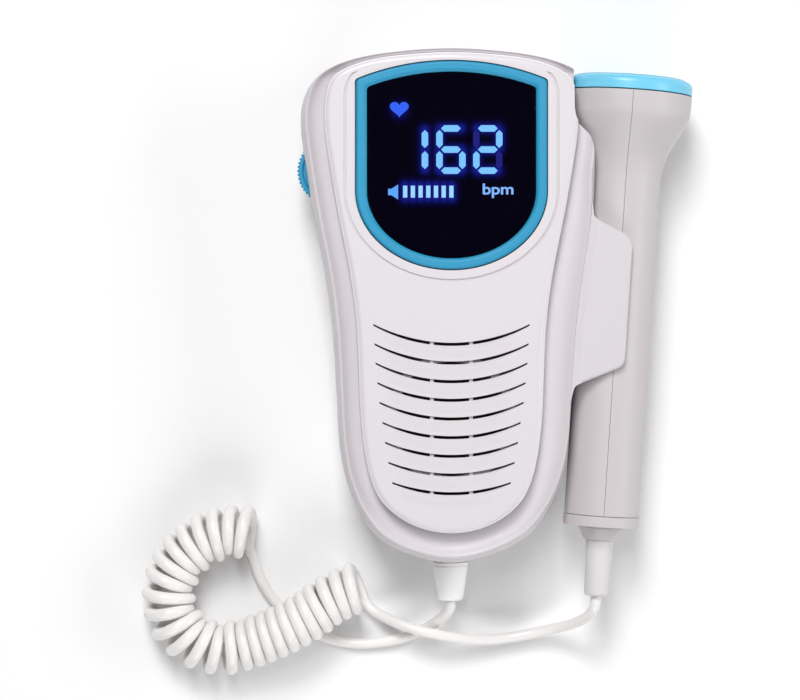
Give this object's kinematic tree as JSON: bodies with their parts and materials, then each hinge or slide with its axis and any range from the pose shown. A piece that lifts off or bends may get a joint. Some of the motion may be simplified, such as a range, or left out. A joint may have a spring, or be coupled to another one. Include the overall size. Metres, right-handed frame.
{
  "type": "fetal doppler monitor",
  "caption": "Handheld fetal doppler with round-ended display, slotted speaker face, side probe holder, probe with round head and curly cord.",
  "frame": {"origin": "centre of the flat back face, under the middle of the housing", "axes": "+Z out of the display, +Y towards the display end, +X towards the probe holder"},
  "size_m": [0.1499, 0.1695, 0.0343],
  "materials": {
    "housing": "satin",
    "face": "satin",
    "turquoise": "gloss",
    "screen": "gloss",
    "foam": "matte",
    "black_plastic": "matte",
    "board": "satin",
    "steel": "satin",
    "cone": "matte",
    "magnet": "satin",
    "cell": "gloss",
    "contact": "satin",
    "probe": "satin",
    "transducer": "matte",
    "rubber": "matte",
    "cord": "satin"
  },
  "bodies": {
    "housing": {"rear_shell": "housing", "front_shell": "housing", "face_panel": "face", "display_bezel": "turquoise", "display_window": "screen", "display_gasket": "foam", "display_module": "black_plastic", "main_board": "board", "speaker_frame": "steel", "speaker_cone": "cone", "speaker_magnet": "magnet", "volume_potentiometer": "black_plastic", "battery_cell_left": "cell", "battery_cell_right": "cell", "battery_contact_top": "contact", "battery_contact_bottom": "contact", "case_screw_1": "steel", "case_screw_2": "steel", "case_screw_3": "steel", "case_screw_4": "steel", "cord_gland": "rubber", "cord_body_lead": "cord", "curly_cord": "cord", "cord_probe_lead": "cord"},
    "probe": {"probe_shell_left": "probe", "probe_shell_right": "probe", "probe_end_ring": "probe", "probe_face_cap": "turquoise", "probe_seal": "foam", "probe_transducer": "transducer", "probe_backing": "foam", "probe_board": "board", "probe_strain_relief": "rubber"},
    "volume_wheel": {"volume_wheel": "turquoise"},
    "battery_door": {"battery_door": "housing"}
  },
  "joints": [
    {"name": "probe_slide", "type": "slide", "parent": "housing", "child": "probe", "axis": [0.0653, 0.9979, 0], "range_m": [0, 0.11]},
    {"name": "volume_turn", "type": "hinge", "parent": "housing", "child": "volume_wheel", "pos_m": [-0.03225, 0.0361, 0.01515], "axis": [0, 0, 1], "range_deg": [-210, 60]},
    {"name": "door_swing", "type": "hinge", "parent": "housing", "child": "battery_door", "pos_m": [0, -0.0431, 0.0001], "axis": [1, 0, 0], "range_deg": [-40, 0]}
  ]
}
